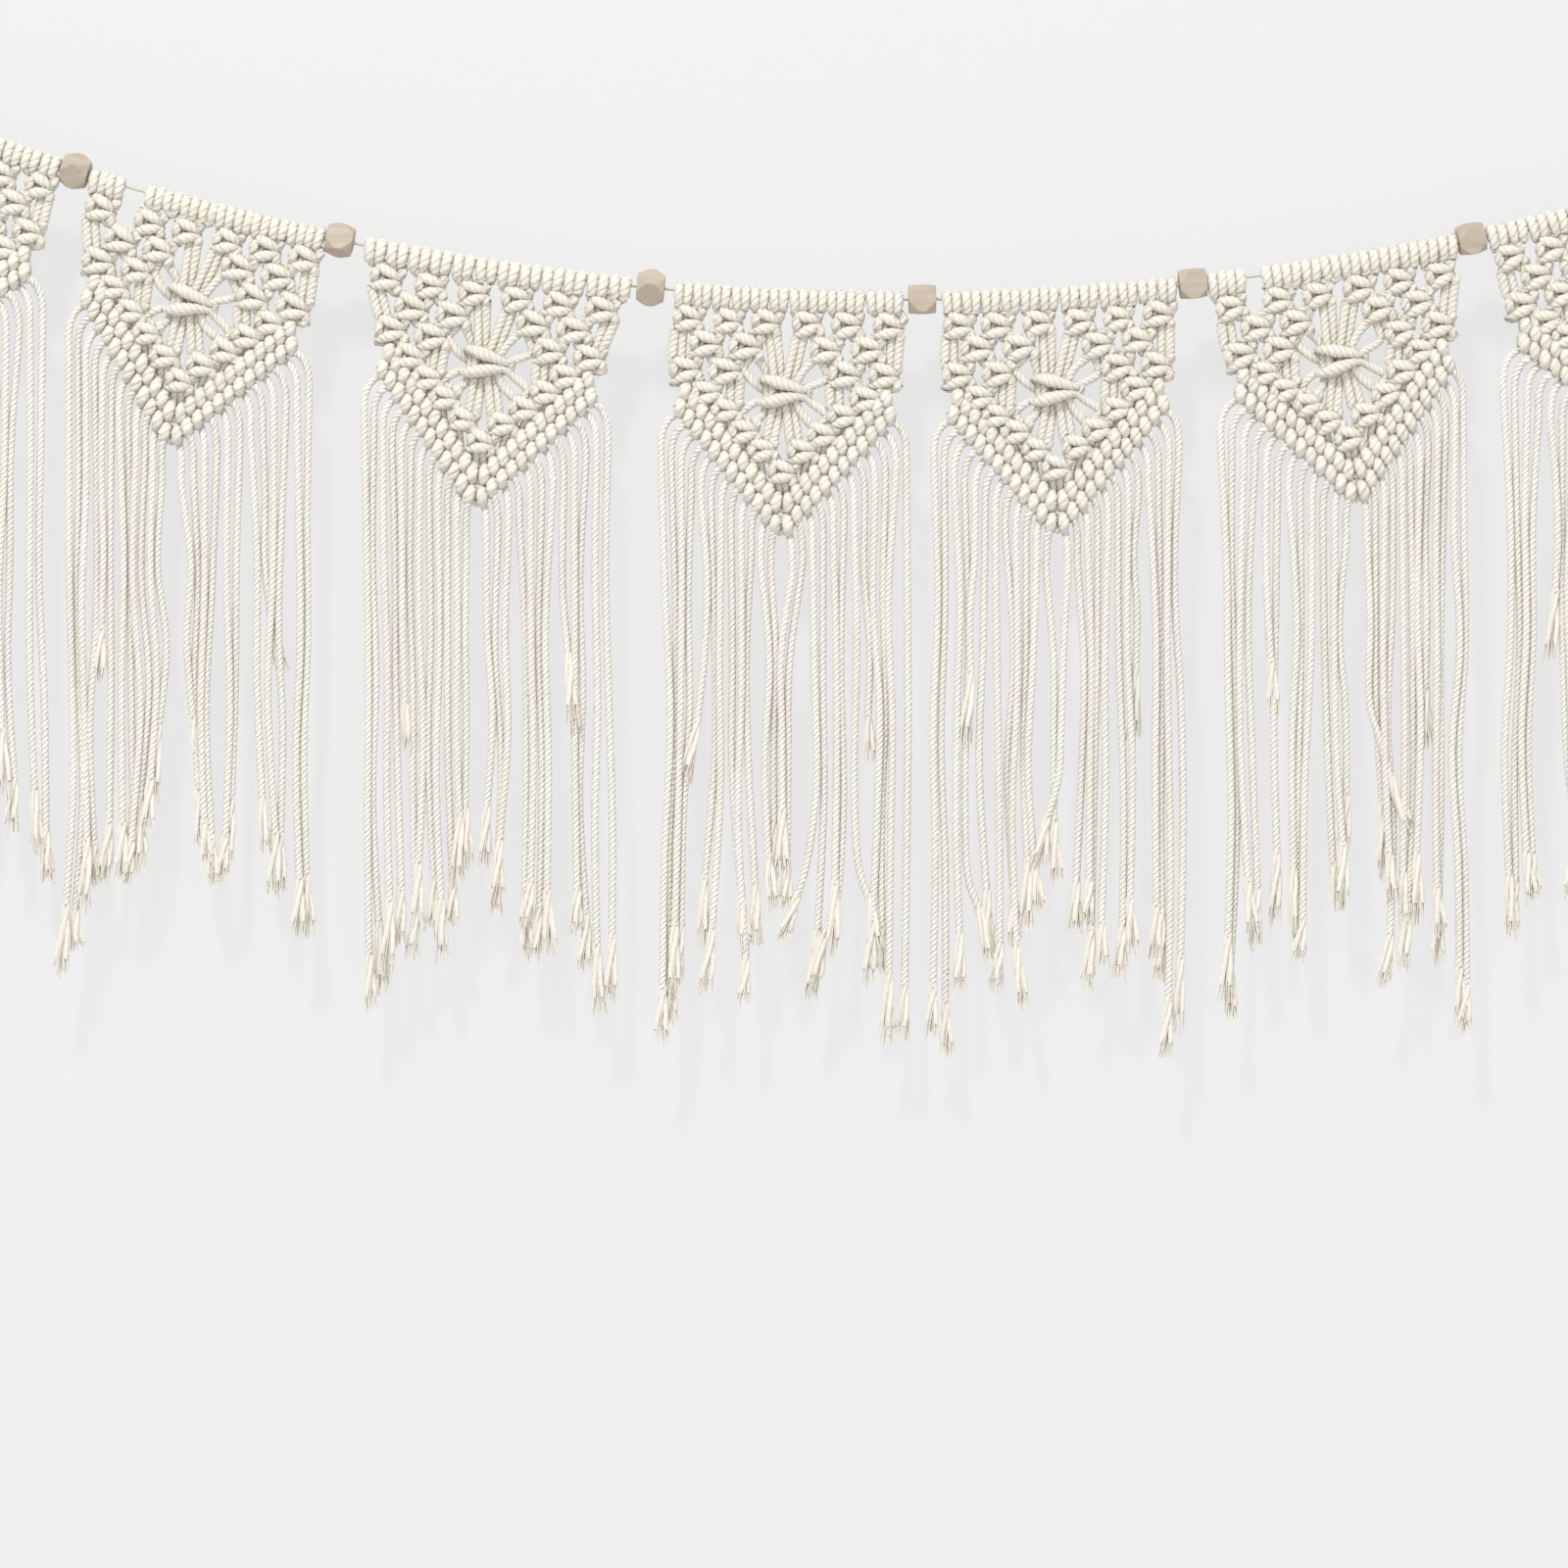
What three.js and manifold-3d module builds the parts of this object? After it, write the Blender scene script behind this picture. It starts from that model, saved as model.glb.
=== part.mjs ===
// Macrame bunting: seven knotted cotton pennants and six faceted wooden beads, threaded on one
// thin string that sags between two tied hanging loops.
// Millimetres, X to the right along the string, +Z up, -Y to the front. The origin is the inside
// of the left loop's bend, where the bunting hangs.

import * as THREE from 'three';
import { mergeVertices } from 'three/addons/utils/BufferGeometryUtils.js';
import Module from 'manifold-3d';

const wasm = await Module();
wasm.setup();

// String and its sag, with reaches measured from the lowest point to the knots of the loops
const stringDiameter = 2;
const stringSteps = 30;
const sagLength = 1562;
const leftReach = 650;
const rightReach = 512;
const clearance = 0.3;

// Hanging loops, tied in the string's own ends
const loopLength = 30;
const loopWidth = 13;
const loopSteps = 11;
const loopKnotSize = { length: 8, height: 6, depth: 5.5 };
const tailLength = 12;
const tailAngle = 28;

// Beads: cubes with their corners cut off, bored a little wide for the bend of the string
const beadSize = 16;
const beadCornerCut = 6;
const beadBore = stringDiameter + 2 * clearance + 0.4;
const beads = [
  { along: -481.7, turn: 32 },
  { along: -327.6, turn: -14 },
  { along: -146.3, turn: 38 },
  { along: 12, turn: 0 },
  { along: 169.7, turn: 12 },
  { along: 332, turn: 16 },
];

// Pennants from left to right: middle from the lowest point of the string, width of the cords'
// row on the string, and the angle by which the pennant's middle line leans from the plumb line
const pennants = [
  { middle: -555.3, headWidth: 138, lean: -12 },
  { middle: -404.6, headWidth: 140.5, lean: -9 },
  { middle: -235.4, headWidth: 157, lean: -5.4 },
  { middle: -65.7, headWidth: 134, lean: -1.9 },
  { middle: 91.7, headWidth: 137, lean: -0.6 },
  { middle: 250.9, headWidth: 147, lean: 6.1 },
  { middle: 411.2, headWidth: 146, lean: 9.2 },
];

// Knotwork of one pennant: 24 cords, folded in pairs over the string. The two pairs that meet in a
// square knot run side by side there, a little apart.
const cordCount = 24;
const pairCount = cordCount / 2;
const bodyWidth = 132;
const pairPitch = 11.6;
const knotHalfPitch = 4.9;
const knotSize = { halfWidth: 4.6, depth: 3.4 };
const rowSlopeShare = 0.9;

// Folded heads of the pairs, a bar around the string with a ridge for each pair
const head = { topDrop: -4.6, notchDrop: -3.6, footDrop: 7, ridgeDepth: 4.6, notchDepth: 3, footDepth: 3.2 };

// Rows of square knots: drop below the string, and the first cord of each knot left of the middle
const knotRows = [
  { drop: 16, firstCords: [0, 4, 8] },
  { drop: 30, firstCords: [2, 6] },
  { drop: 44.6, firstCords: [0, 4] },
  { drop: 57.7, firstCords: [2] },
  { drop: 68, firstCords: [4] },
  { drop: 80, firstCords: [6] },
  { drop: 90, firstCords: [8] },
  { drop: 101.7, firstCords: [10] },
];

// Gathering knot in the middle, where six pairs are drawn together under two crosswise ridges that
// close up to the right. Its rows have a drop at their left and right ends and a depth.
const gather = { firstPair: 3, lastPair: 8, drop: 55.5, pairPitch: 4.4, cordDepth: 2.8 };
const gatherRows = [
  { leftDrop: -9.5, rightDrop: -5, depth: 0 },
  { leftDrop: -6, rightDrop: -2.2, depth: 6 },
  { leftDrop: -0.5, rightDrop: 0.8, depth: 4 },
  { leftDrop: 4.6, rightDrop: 3.8, depth: 6 },
  { leftDrop: 8.6, rightDrop: 6.6, depth: 0 },
];

// Border in the shape of a V: an upper bar that the pairs end in as ridges, and a lower one that
// the fringe cords begin in as ridges
const borderStart = { across: 61, drop: 54 };
const borderTipDrop = 124;
const borderPitch = 8.5;
const borderHalfWidth = (borderPitch - clearance) / 2;
const upperBorder = { ridgeDepth: 4.2, notchDepth: 3, cordDepth: 3, outermost: 0.96 };
const lowerBorder = { halfDepth: 2.4, ridgeHalfWidth: 2.6, ridgeDepth: 4, ridgeReach: 2.4 };

// Fringe: mean drop of the cord ends below the string, from the outer cord to the inner one
const endDrops = [436, 432, 404, 390, 268, 388, 396, 388, 406, 374, 364, 336];
const endScatter = 14;
const fringeHalfWidth = 1.9;
const fringeDepthStagger = 1.1;
const arch = { leftOut: 8, rightOut: 6, innerOut: 2, drop: 16 };
const swing = 1.2;

// Materials
const cotton = new THREE.MeshStandardMaterial({ color: 0xe8e4da, roughness: 0.95, metalness: 0 });
const paleCord = new THREE.MeshStandardMaterial({ color: 0xb9b1a4, roughness: 0.9, metalness: 0 });
const paleWood = new THREE.MeshStandardMaterial({ color: 0xd7c6b2, roughness: 0.6, metalness: 0 });

// Height of the string above its lowest point, and its slope there, at a distance from that point
function rise(along) {
  return sagLength * (Math.cosh(along / sagLength) - 1);
}

function stringAngle(along) {
  return Math.atan(Math.sinh(along / sagLength));
}

// Repeatable scatter between -1 and 1 for one cord of one pennant
function scatter(pennantIndex, cordIndex, channel) {
  const wave = Math.sin(pennantIndex * 12.9898 + cordIndex * 78.233 + channel * 37.719) * 43758.5453;
  return 2 * (wave - Math.floor(wave)) - 1;
}

// Regular polygon of radius 1 with a corner at the given angle, as the section of a sweep
function polygonSection(sides, firstAngle) {
  const corners = [];
  for (let i = 0; i < sides; i++) {
    const angle = firstAngle + (i * 2 * Math.PI) / sides;
    corners.push(new THREE.Vector2(Math.cos(angle), Math.sin(angle)));
  }
  return new THREE.Shape(corners);
}

const roundSection = polygonSection(8, Math.PI / 8);
const tunnelSection = polygonSection(6, 0);
const strandSection = polygonSection(3, Math.PI / 2);
const barSection = new THREE.Shape([[-1, -1], [1, -1], [1, 1], [-1, 1]].map(([x, y]) => new THREE.Vector2(x, y)));

// Direction of a sweep at a station, with the widening that a bend needs to keep its full width
function stationFrame(stations, index) {
  const before = stations[Math.max(index - 1, 0)];
  const here = stations[index];
  const after = stations[Math.min(index + 1, stations.length - 1)];
  const incoming = new THREE.Vector2(here.x - before.x, here.z - before.z).normalize();
  const outgoing = new THREE.Vector2(after.x - here.x, after.z - here.z).normalize();
  const heading = incoming.clone().add(outgoing).normalize();
  const straight = Math.max(incoming.dot(heading), outgoing.dot(heading), 0.6);
  return { sideX: -heading.y, sideZ: heading.x, widen: 1 / straight };
}

// Closed solid of a section swept through stations in the plane of the hang. Each station has its
// x and z, its half width in that plane and its half depth square to it.
function sweep(section, stations, out = 0) {
  const steps = stations.length - 1;
  const geometry = new THREE.ExtrudeGeometry(section, { depth: 1, steps, bevelEnabled: false });
  const frames = stations.map((station, index) => stationFrame(stations, index));
  const position = geometry.attributes.position;
  for (let i = 0; i < position.count; i++) {
    const index = Math.round(position.getZ(i) * steps);
    const station = stations[index];
    const frame = frames[index];
    const side = position.getX(i) * station.halfWidth * frame.widen;
    const front = position.getY(i) * station.halfDepth + out;
    position.setXYZ(i, station.x + side * frame.sideX, -front, station.z + side * frame.sideZ);
  }
  return geometry;
}

// Solid for joining and cutting
function toSolid(geometry) {
  const bare = geometry.clone();
  if (bare.hasAttribute('normal')) bare.deleteAttribute('normal');
  if (bare.hasAttribute('uv')) bare.deleteAttribute('uv');
  const merged = mergeVertices(bare, 1e-4);
  const vertProperties = new Float32Array(merged.attributes.position.array);
  const triVerts = new Uint32Array(merged.index.array);
  return new wasm.Manifold(new wasm.Mesh({ numProp: 3, vertProperties, triVerts }));
}

function joinAll(geometries) {
  return geometries.map(toSolid).reduce((whole, piece) => whole.add(piece));
}

function toGeometry(solid) {
  const { vertProperties, triVerts } = solid.getMesh();
  const geometry = new THREE.BufferGeometry();
  geometry.setAttribute('position', new THREE.BufferAttribute(vertProperties, 3));
  geometry.setIndex(new THREE.BufferAttribute(triVerts, 1));
  geometry.computeVertexNormals();
  return geometry;
}

// Net of patches in the plane of the hang, closed into a solid. A point with a depth stands out to
// the front and to the back, and a point without one lies on a rim.
class Net {
  points = [];
  patches = [];
  walls = [];

  add(place, depth = 0) {
    this.points.push({ x: place.x, z: place.y, depth });
    return this.points.length - 1;
  }

  // Patches between two rows of points, the second one below the first
  join(upper, lower) {
    for (let i = 0; i + 1 < upper.length; i++) {
      this.patches.push([upper[i], lower[i], lower[i + 1], upper[i + 1]]);
    }
  }

  // Side wall along a rim, which runs with the net to its left as seen from the front
  close(rim) {
    for (let i = 0; i + 1 < rim.length; i++) this.walls.push([rim[i], rim[i + 1]]);
  }

  toGeometry() {
    const positions = [];
    const front = [];
    const back = [];
    for (const { x, z, depth } of this.points) {
      front.push(positions.length / 3);
      positions.push(x, -depth, z);
      if (depth > 0) positions.push(x, depth, z);
      back.push(positions.length / 3 - 1);
    }
    const index = [];
    const quad = (a, b, c, d) => {
      for (const corners of [[a, b, c], [a, c, d]]) {
        if (new Set(corners).size === 3) index.push(...corners);
      }
    };
    for (const [a, b, c, d] of this.patches) {
      quad(front[a], front[b], front[c], front[d]);
      quad(back[a], back[d], back[c], back[b]);
    }
    for (const [a, b] of this.walls) quad(back[a], back[b], front[b], front[a]);
    const geometry = new THREE.BufferGeometry();
    geometry.setAttribute('position', new THREE.Float32BufferAttribute(positions, 3));
    geometry.setIndex(index);
    return geometry;
  }
}

function namedMesh(name, geometry, material) {
  const mesh = new THREE.Mesh(geometry, material);
  mesh.name = name;
  return mesh;
}

// Stations of the string's centre line between two distances from its lowest point
function stringStations(from, to, steps, radius) {
  const stations = [];
  for (let i = 0; i <= steps; i++) {
    const along = THREE.MathUtils.lerp(from, to, i / steps);
    stations.push({ x: along, z: rise(along), halfWidth: radius, halfDepth: radius });
  }
  return stations;
}

// Hanging loop at one end of the string: a drop-shaped bend in line with the pull, drawn shut by a
// knot, out of which the short tail stands
function loopPieces(reach, side) {
  const radius = stringDiameter / 2;
  const angle = stringAngle(side * reach);
  const pull = new THREE.Vector2(side * Math.cos(angle), side * Math.sin(angle));
  const across = new THREE.Vector2(-pull.y, pull.x);
  const knot = new THREE.Vector2(side * reach, rise(reach));
  const place = (forward, sideways) => {
    const point = knot.clone().addScaledVector(pull, forward).addScaledVector(across, sideways);
    return { x: point.x, z: point.y, halfWidth: radius, halfDepth: radius };
  };
  const bend = [];
  for (let i = 0; i <= loopSteps; i++) {
    const turn = (i / loopSteps) * 2 * Math.PI;
    const forward = (loopLength * (1 - Math.cos(turn))) / 2;
    bend.push(place(forward, (loopWidth / 1.5) * Math.sin(turn) * Math.sin(turn / 2)));
  }
  const tail = THREE.MathUtils.degToRad(180 - tailAngle);
  const tailEnd = place(tailLength * Math.cos(tail), tailLength * Math.sin(tail));
  const ball = new THREE.SphereGeometry(0.5, 8, 5);
  ball.scale(loopKnotSize.length, loopKnotSize.depth, loopKnotSize.height);
  ball.rotateY(-angle);
  ball.translate(knot.x, 0, knot.y);
  return [sweep(roundSection, bend), sweep(roundSection, [place(0, 0), tailEnd]), ball];
}

// Point where the loop's bend rests on what holds it
function hangingPoint(reach, side) {
  const angle = stringAngle(side * reach);
  const forward = loopLength - stringDiameter / 2;
  const x = side * (reach + forward * Math.cos(angle));
  return new THREE.Vector3(x, 0, rise(reach) + forward * Math.abs(Math.sin(angle)));
}

function headerString() {
  const run = sweep(roundSection, stringStations(-leftReach, rightReach, stringSteps, stringDiameter / 2));
  const whole = joinAll([run, ...loopPieces(leftReach, -1), ...loopPieces(rightReach, 1)]);
  return namedMesh('header_string', toGeometry(whole), paleCord);
}

// Bead with its hole along X, turned about the string and tilted with it
function bead(index) {
  const { along, turn } = beads[index];
  const cube = new THREE.BoxGeometry(beadSize, beadSize, beadSize);
  const cornerCutter = new THREE.OctahedronGeometry(beadSize * 1.5 - beadCornerCut);
  const hole = new THREE.CylinderGeometry(beadBore / 2, beadBore / 2, beadSize * 1.2, 8);
  hole.rotateZ(Math.PI / 2);
  const solid = toSolid(cube).intersect(toSolid(cornerCutter)).subtract(toSolid(hole));
  const mesh = namedMesh(`bead_${index + 1}`, toGeometry(solid), paleWood);
  mesh.position.set(along, 0, rise(along));
  mesh.rotation.set(THREE.MathUtils.degToRad(turn), -stringAngle(along), 0, 'YXZ');
  return mesh;
}

// Place in the plane of the hang, from the pennant's middle on the string, of a point of its
// knotwork: the rows follow the string at the top and turn a little level further down
function pennantPoint(pennant, across, drop) {
  const slack = THREE.MathUtils.clamp(1 - drop / borderStart.drop, 0, 1);
  const spread = THREE.MathUtils.lerp(1, pennant.headWidth / bodyWidth, slack);
  const headAngle = stringAngle(pennant.middle);
  const rowAngle = headAngle * rowSlopeShare;
  const lean = THREE.MathUtils.degToRad(pennant.lean);
  const headX = across * spread * Math.cos(headAngle);
  const headZ = rise(pennant.middle + headX) - rise(pennant.middle);
  const rowX = across * spread * Math.cos(rowAngle);
  const rowZ = across * spread * Math.sin(rowAngle);
  const x = THREE.MathUtils.lerp(rowX, headX, slack) + drop * Math.sin(lean);
  const z = THREE.MathUtils.lerp(rowZ, headZ, slack) - drop * Math.cos(lean);
  return new THREE.Vector2(x, z);
}

// Rows of folded heads, from their tops above the string to their feet below it
function headRows(net, pennant) {
  const top = [];
  const middle = [];
  const foot = [];
  for (let i = 0; i <= cordCount; i++) {
    const across = (i / cordCount - 0.5) * bodyWidth;
    const onRidge = i % 2 === 1;
    top.push(net.add(pennantPoint(pennant, across, onRidge ? head.topDrop : head.notchDrop)));
    middle.push(net.add(pennantPoint(pennant, across, 0), onRidge ? head.ridgeDepth : head.notchDepth));
    foot.push(net.add(pennantPoint(pennant, across, head.footDrop), onRidge ? head.footDepth : 0));
  }
  net.join(top, middle);
  net.join(middle, foot);
  net.close([top[0], middle[0], foot[0]]);
  net.close([foot[cordCount], middle[cordCount], top[cordCount]]);
  return foot;
}

// Tunnel of the string through the heads
function stringTunnel(pennant) {
  const reach = (pennant.headWidth * Math.cos(stringAngle(pennant.middle))) / 2 + 2;
  const radius = (stringDiameter / 2 + clearance + 0.1) / Math.cos(Math.PI / 6);
  const tunnel = sweep(tunnelSection, stringStations(pennant.middle - reach, pennant.middle + reach, 4, radius));
  tunnel.translate(-pennant.middle, 0, -rise(pennant.middle));
  return tunnel;
}

// Middle of a square knot across the pennant, from its first cord
function knotAcross(firstCord) {
  return ((firstCord + 2 - cordCount / 2) * pairPitch) / 2;
}

// Stops of a pair of cords in the rows of knots, where it is the left or the right half of one
function knotStops(pair) {
  const stops = [];
  for (const { drop, firstCords } of knotRows) {
    const mirrored = firstCords.map((first) => cordCount - 4 - first);
    for (const first of new Set([...firstCords, ...mirrored])) {
      if (first === 2 * pair) stops.push({ across: knotAcross(first) - knotHalfPitch, drop });
      if (first === 2 * pair - 2) stops.push({ across: knotAcross(first) + knotHalfPitch, drop });
    }
  }
  return stops;
}

// Rows of the gathering knot, in which neighbouring pairs share their edges
function gatherNet(net, pennant) {
  const columns = 2 * (gather.lastPair - gather.firstPair + 1);
  const rows = gatherRows.map(({ leftDrop, rightDrop, depth }) => {
    const row = [];
    for (let i = 0; i <= columns; i++) {
      const across = (i - columns / 2) * (gather.pairPitch / 2);
      const drop = gather.drop + THREE.MathUtils.lerp(leftDrop, rightDrop, i / columns);
      const inner = i > 0 && i < columns;
      const onRim = depth === 0;
      const cordDepth = i % 2 === 1 ? gather.cordDepth : 0;
      row.push(net.add(pennantPoint(pennant, across, drop), onRim ? cordDepth : inner * depth));
    }
    return row;
  });
  for (let i = 0; i + 1 < rows.length; i++) net.join(rows[i], rows[i + 1]);
  return { entry: rows[0], exit: rows[rows.length - 1] };
}

// Middle line of the upper border bar: its left end, tip and right end
function borderLine(pennant) {
  return [
    pennantPoint(pennant, -borderStart.across, borderStart.drop),
    pennantPoint(pennant, 0, borderTipDrop),
    pennantPoint(pennant, borderStart.across, borderStart.drop),
  ];
}

// The same line moved down and outwards by a distance square to its two sides
function loweredLine([left, tip, right], distance) {
  const leftRun = tip.clone().sub(left).normalize();
  const rightRun = right.clone().sub(tip).normalize();
  const leftShift = new THREE.Vector2(leftRun.y, -leftRun.x).multiplyScalar(distance);
  const rightShift = new THREE.Vector2(rightRun.y, -rightRun.x).multiplyScalar(distance);
  const middle = leftShift.clone().add(rightShift).normalize();
  const tipDistance = distance ** 2 / middle.dot(leftShift);
  return [left.clone().add(leftShift), tip.clone().addScaledVector(middle, tipDistance), right.clone().add(rightShift)];
}

// Point of a border line at a share of its run: 0 at the left end, 1 at the tip, 2 at the right end
function alongBorder([left, tip, right], share) {
  return share < 1 ? left.clone().lerp(tip, share) : tip.clone().lerp(right, share - 1);
}

// Rows of the upper border bar, with a ridge where each pair ends
function upperBorderNet(net, pennant, lastAcross) {
  const ridges = lastAcross.map((across) => {
    return 1 + THREE.MathUtils.clamp(across / borderStart.across, -upperBorder.outermost, upperBorder.outermost);
  });
  const shares = [0];
  ridges.forEach((ridge, pair) => {
    const next = pair + 1 < pairCount ? (ridge + ridges[pair + 1]) / 2 : 2;
    shares.push(ridge, next);
  });
  const line = borderLine(pennant);
  const upperLine = loweredLine(line, -borderHalfWidth);
  const lowerLine = loweredLine(line, borderHalfWidth);
  const { ridgeDepth, notchDepth, cordDepth } = upperBorder;
  const upper = shares.map((share, i) => net.add(alongBorder(upperLine, share), i % 2 === 1 ? cordDepth : 0));
  const lower = shares.map((share) => net.add(alongBorder(lowerLine, share)));
  const middle = shares.map((share, i) => {
    const inner = i > 0 && i < cordCount;
    return net.add(alongBorder(line, share), inner * (i % 2 === 1 ? ridgeDepth : notchDepth));
  });
  net.join(upper, middle);
  net.join(middle, lower);
  return upper;
}

// Three points of a row that belong to one pair: its left edge, ridge and right edge
function pairColumns(row, pair) {
  return row.slice(2 * pair, 2 * pair + 3);
}

// Patches of one pair through the given stops, from one row of the net to another
function pairNet(net, pennant, stops, from, to) {
  const { halfWidth, depth } = knotSize;
  let above = from;
  for (const { across, drop } of stops) {
    const edges = [across - halfWidth, across, across + halfWidth];
    const row = edges.map((place, i) => net.add(pennantPoint(pennant, place, drop), i === 1 ? depth : 0));
    net.join(above, row);
    above = row;
  }
  net.join(above, to);
}

// Knotwork of one pennant, in one piece from the folded heads to the upper border bar
function knotwork(index) {
  const pennant = pennants[index];
  const net = new Net();
  const stops = [];
  for (let pair = 0; pair < pairCount; pair++) stops.push(knotStops(pair));
  const heads = headRows(net, pennant);
  const gathered = gatherNet(net, pennant);
  const border = upperBorderNet(net, pennant, stops.map((list) => list[list.length - 1].across));
  stops.forEach((list, pair) => {
    const from = pairColumns(heads, pair);
    const to = pairColumns(border, pair);
    if (pair < gather.firstPair || pair > gather.lastPair) {
      pairNet(net, pennant, list, from, to);
      return;
    }
    const place = pair - gather.firstPair;
    pairNet(net, pennant, list.filter(({ drop }) => drop < gather.drop), from, pairColumns(gathered.entry, place));
    pairNet(net, pennant, list.filter(({ drop }) => drop > gather.drop), pairColumns(gathered.exit, place), to);
  });
  const solid = toSolid(net.toGeometry()).subtract(toSolid(stringTunnel(pennant)));
  return namedMesh(`pennant_${index}`, toGeometry(solid), cotton);
}

// Plain bar of the lower border
function lowerBorderPiece(line) {
  const size = { halfWidth: borderHalfWidth, halfDepth: lowerBorder.halfDepth };
  return sweep(barSection, line.map((point) => ({ x: point.x, z: point.y, ...size })));
}

// Fringe cord that arches outwards from the lower row of the border and then hangs plumb
function strandPiece(line, pennantIndex, cord) {
  const [left, tip, right] = line;
  const leftHalf = cord < pairCount;
  const rank = leftHalf ? cord : cordCount - 1 - cord;
  const share = (rank + 0.5) / pairCount;
  const root = (leftHalf ? left : right).clone().lerp(tip, share);
  const widest = leftHalf ? -arch.leftOut : arch.rightOut;
  const innermost = leftHalf ? -arch.innerOut : arch.innerOut;
  const outward = THREE.MathUtils.lerp(widest, innermost, share);
  const hangX = root.x + outward;
  const endX = hangX + swing * scatter(pennantIndex, rank, 1);
  const endZ = -endDrops[rank] + endScatter * scatter(pennantIndex, cord, 2);
  const thin = { halfWidth: fringeHalfWidth, halfDepth: fringeHalfWidth };
  const { ridgeReach, ridgeHalfWidth, ridgeDepth } = lowerBorder;
  const stations = [
    { x: root.x, z: root.y + ridgeReach, halfWidth: ridgeHalfWidth, halfDepth: ridgeDepth },
    { x: hangX, z: root.y - arch.drop, ...thin },
    { x: endX, z: endZ, ...thin },
  ];
  return sweep(strandSection, stations, fringeDepthStagger * (cord % 2 === 0 ? 1 : -1));
}

// Fringe of one pennant, rooted in the lower row of the border
function fringe(index) {
  const line = loweredLine(borderLine(pennants[index]), borderPitch);
  const pieces = [lowerBorderPiece(line)];
  for (let cord = 0; cord < cordCount; cord++) pieces.push(strandPiece(line, index, cord));
  return namedMesh(`fringe_${index}`, toGeometry(joinAll(pieces)), cotton);
}

// The whole bunting, built about the string's lowest point and moved to its hanging point
const bunting = new THREE.Group();
bunting.position.copy(hangingPoint(leftReach, -1)).negate();
bunting.add(headerString());
for (let i = 0; i < beads.length; i++) bunting.add(bead(i));
for (let i = 0; i < pennants.length; i++) {
  const place = new THREE.Group();
  place.position.set(pennants[i].middle, 0, rise(pennants[i].middle));
  place.add(knotwork(i), fringe(i));
  bunting.add(place);
}

const whole = new THREE.Group();
whole.add(bunting);

export default whole;
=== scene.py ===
import math
import random

import bmesh
import bpy
from mathutils import Matrix, Vector


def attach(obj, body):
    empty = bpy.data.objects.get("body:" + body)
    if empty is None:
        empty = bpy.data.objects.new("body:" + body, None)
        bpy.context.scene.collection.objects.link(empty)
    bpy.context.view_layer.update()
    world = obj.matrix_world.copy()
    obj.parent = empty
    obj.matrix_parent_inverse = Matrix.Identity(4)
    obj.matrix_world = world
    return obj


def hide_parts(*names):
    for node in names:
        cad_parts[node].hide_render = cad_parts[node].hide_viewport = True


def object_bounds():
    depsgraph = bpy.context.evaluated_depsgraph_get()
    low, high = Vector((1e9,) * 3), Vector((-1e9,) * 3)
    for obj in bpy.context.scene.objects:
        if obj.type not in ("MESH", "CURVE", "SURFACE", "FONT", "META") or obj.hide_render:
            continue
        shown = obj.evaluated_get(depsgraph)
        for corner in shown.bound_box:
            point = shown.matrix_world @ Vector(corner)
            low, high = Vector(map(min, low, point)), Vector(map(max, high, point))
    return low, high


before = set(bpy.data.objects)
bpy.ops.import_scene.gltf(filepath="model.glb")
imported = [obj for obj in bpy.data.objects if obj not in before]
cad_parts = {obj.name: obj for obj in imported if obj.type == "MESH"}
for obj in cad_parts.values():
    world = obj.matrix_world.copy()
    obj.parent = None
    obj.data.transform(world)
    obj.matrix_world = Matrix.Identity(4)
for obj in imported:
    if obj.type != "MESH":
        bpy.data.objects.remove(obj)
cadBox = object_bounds()
scene = bpy.context.scene
mm = 0.001
print("frame loaded")


# Places on the bunting, in mm: x to the right, z up, forward out to the front

headerString = {
    "radius": 1.0, "sagLength": 1562.0, "leftReach": 650.0, "rightReach": 512.0, "runStep": 12.0,
    "loopLength": 30.0, "loopWidth": 13.0, "loopFullness": 1.5, "loopSteps": 12,
    "wrapTurns": 3, "wrapRadius": 2.5, "wrapPitch": 2.1, "wrapSteps": 8,
    "tailLength": 12.0, "tailAngle": 28.0, "tailBend": 1.0,
    "lay": 5.0, "step": 1.1, "plies": 3, "points": 6, "hollow": 0.25,
}


def rise(along):
    return headerString["sagLength"] * (math.cosh(along / headerString["sagLength"]) - 1)


def stringAngle(along):
    return math.atan(math.sinh(along / headerString["sagLength"]))


def hangingPoint():  # inside of the left loop's bend, where the frame has its origin
    reach = headerString["leftReach"]
    angle = stringAngle(reach)
    forward = headerString["loopLength"] - headerString["radius"]
    return -(reach + forward * math.cos(angle)), rise(reach) + forward * math.sin(angle)


originX, originZ = hangingPoint()


def spot(x, z, forward):  # a place in the frame, in metres
    return Vector((x - originX, -forward, z - originZ)) * mm


def mix(a, b, share):
    return a + (b - a) * share


# Each pennant's middle on the string from its lowest point, width of its row of heads, lean in degrees
# and, where the string shows between two heads, how far they stand apart

pennants = [
    {"middle": -555.3, "headWidth": 138.0, "lean": -12.0},
    {"middle": -404.6, "headWidth": 140.5, "lean": -9.0, "headGap": 13.0},
    {"middle": -235.4, "headWidth": 157.0, "lean": -5.4},
    {"middle": -65.7, "headWidth": 134.0, "lean": -1.9},
    {"middle": 91.7, "headWidth": 137.0, "lean": -0.6},
    {"middle": 250.9, "headWidth": 147.0, "lean": 6.1, "headGap": 9.0},
    {"middle": 411.2, "headWidth": 146.0, "lean": 9.2},
]

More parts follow.
